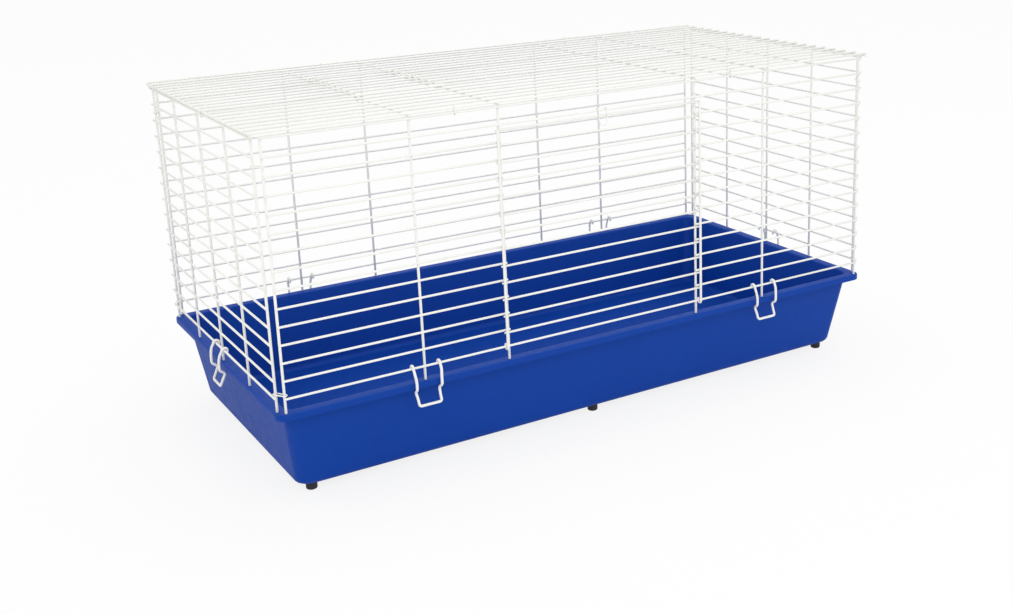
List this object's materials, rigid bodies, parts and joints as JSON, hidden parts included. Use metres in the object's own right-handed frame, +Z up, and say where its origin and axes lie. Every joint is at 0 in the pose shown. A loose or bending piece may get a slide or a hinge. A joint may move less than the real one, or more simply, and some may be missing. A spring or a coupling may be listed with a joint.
{
  "type": "wire rabbit cage",
  "caption": "Long white wire rabbit cage clipped to a deep blue plastic base pan, with a drop-down front door and a lift-up roof door.",
  "frame": {"origin": "on the ground, at the middle of the footprint", "axes": "+X along the length, to the right as seen from the front; +Y from the front door towards the back; +Z up"},
  "size_m": [1.0474, 0.5204, 0.5206],
  "materials": {
    "white_powder_coat": "satin white powder coat on steel wire",
    "blue_plastic": "satin moulded polypropylene",
    "dark_rubber": "matt"
  },
  "bodies": {
    "base": {"base_pan": "blue_plastic", "foot_front_left": "dark_rubber", "foot_front_middle": "dark_rubber", "foot_front_right": "dark_rubber", "foot_back_left": "dark_rubber", "foot_back_middle": "dark_rubber", "foot_back_right": "dark_rubber"},
    "wire_top": {"front_panel": "white_powder_coat", "back_panel": "white_powder_coat", "left_panel": "white_powder_coat", "right_panel": "white_powder_coat", "roof_panel": "white_powder_coat", "corner_link_front_left_lower": "white_powder_coat", "corner_link_front_left_upper": "white_powder_coat", "corner_link_front_right_lower": "white_powder_coat", "corner_link_front_right_upper": "white_powder_coat", "corner_link_back_left_lower": "white_powder_coat", "corner_link_back_left_upper": "white_powder_coat", "corner_link_back_right_lower": "white_powder_coat", "corner_link_back_right_upper": "white_powder_coat", "roof_link_front_left": "white_powder_coat", "roof_link_front_right": "white_powder_coat", "roof_link_back_left": "white_powder_coat", "roof_link_back_right": "white_powder_coat", "roof_link_left": "white_powder_coat", "roof_link_right": "white_powder_coat"},
    "front_door": {"front_door": "white_powder_coat"},
    "roof_door": {"roof_door": "white_powder_coat"},
    "front_door_latch": {"front_door_latch": "white_powder_coat"},
    "roof_door_latch": {"roof_door_latch": "white_powder_coat"},
    "base_clip_front_left": {"base_clip_front_left": "white_powder_coat"},
    "base_clip_front_right": {"base_clip_front_right": "white_powder_coat"},
    "base_clip_right": {"base_clip_right": "white_powder_coat"},
    "base_clip_back_right": {"base_clip_back_right": "white_powder_coat"},
    "base_clip_back_left": {"base_clip_back_left": "white_powder_coat"},
    "base_clip_left": {"base_clip_left": "white_powder_coat"}
  },
  "joints": [
    {"name": "wire_top_lift", "type": "slide", "parent": "base", "child": "wire_top", "axis": [0, 0, 1], "range_m": [0, 0.15]},
    {"name": "front_door_hinge", "type": "hinge", "parent": "wire_top", "child": "front_door", "pos_m": [0, -0.24835, 0.1604], "axis": [1, 0, 0], "range_deg": [0, 117]},
    {"name": "roof_door_hinge", "type": "hinge", "parent": "wire_top", "child": "roof_door", "pos_m": [-0.3, 0, 0.5137], "axis": [0, -1, 0], "range_deg": [0, 100]},
    {"name": "front_latch_turn", "type": "hinge", "parent": "wire_top", "child": "front_door_latch", "pos_m": [0, -0.24835, 0.48494], "axis": [-1, 0, 0], "range_deg": [0, 120]},
    {"name": "roof_latch_turn", "type": "hinge", "parent": "wire_top", "child": "roof_door_latch", "pos_m": [-0.167, 0.0393, 0.5137], "axis": [0, 1, 0], "range_deg": [0, 130]},
    {"name": "clip_turn_front_left", "type": "hinge", "parent": "wire_top", "child": "base_clip_front_left", "pos_m": [-0.3, -0.24835, 0.1604], "axis": [-1, 0, 0], "range_deg": [0, 100]},
    {"name": "clip_turn_front_right", "type": "hinge", "parent": "wire_top", "child": "base_clip_front_right", "pos_m": [0.3, -0.24835, 0.1604], "axis": [-1, 0, 0], "range_deg": [0, 100]},
    {"name": "clip_turn_right", "type": "hinge", "parent": "wire_top", "child": "base_clip_right", "pos_m": [0.51187, 0, 0.1604], "axis": [0, -1, 0], "range_deg": [0, 100]},
    {"name": "clip_turn_back_right", "type": "hinge", "parent": "wire_top", "child": "base_clip_back_right", "pos_m": [0.3, 0.24835, 0.1604], "axis": [1, 0, 0], "range_deg": [0, 100]},
    {"name": "clip_turn_back_left", "type": "hinge", "parent": "wire_top", "child": "base_clip_back_left", "pos_m": [-0.3, 0.24835, 0.1604], "axis": [1, 0, 0], "range_deg": [0, 100]},
    {"name": "clip_turn_left", "type": "hinge", "parent": "wire_top", "child": "base_clip_left", "pos_m": [-0.51187, 0, 0.1604], "axis": [0, 1, 0], "range_deg": [0, 100]}
  ]
}
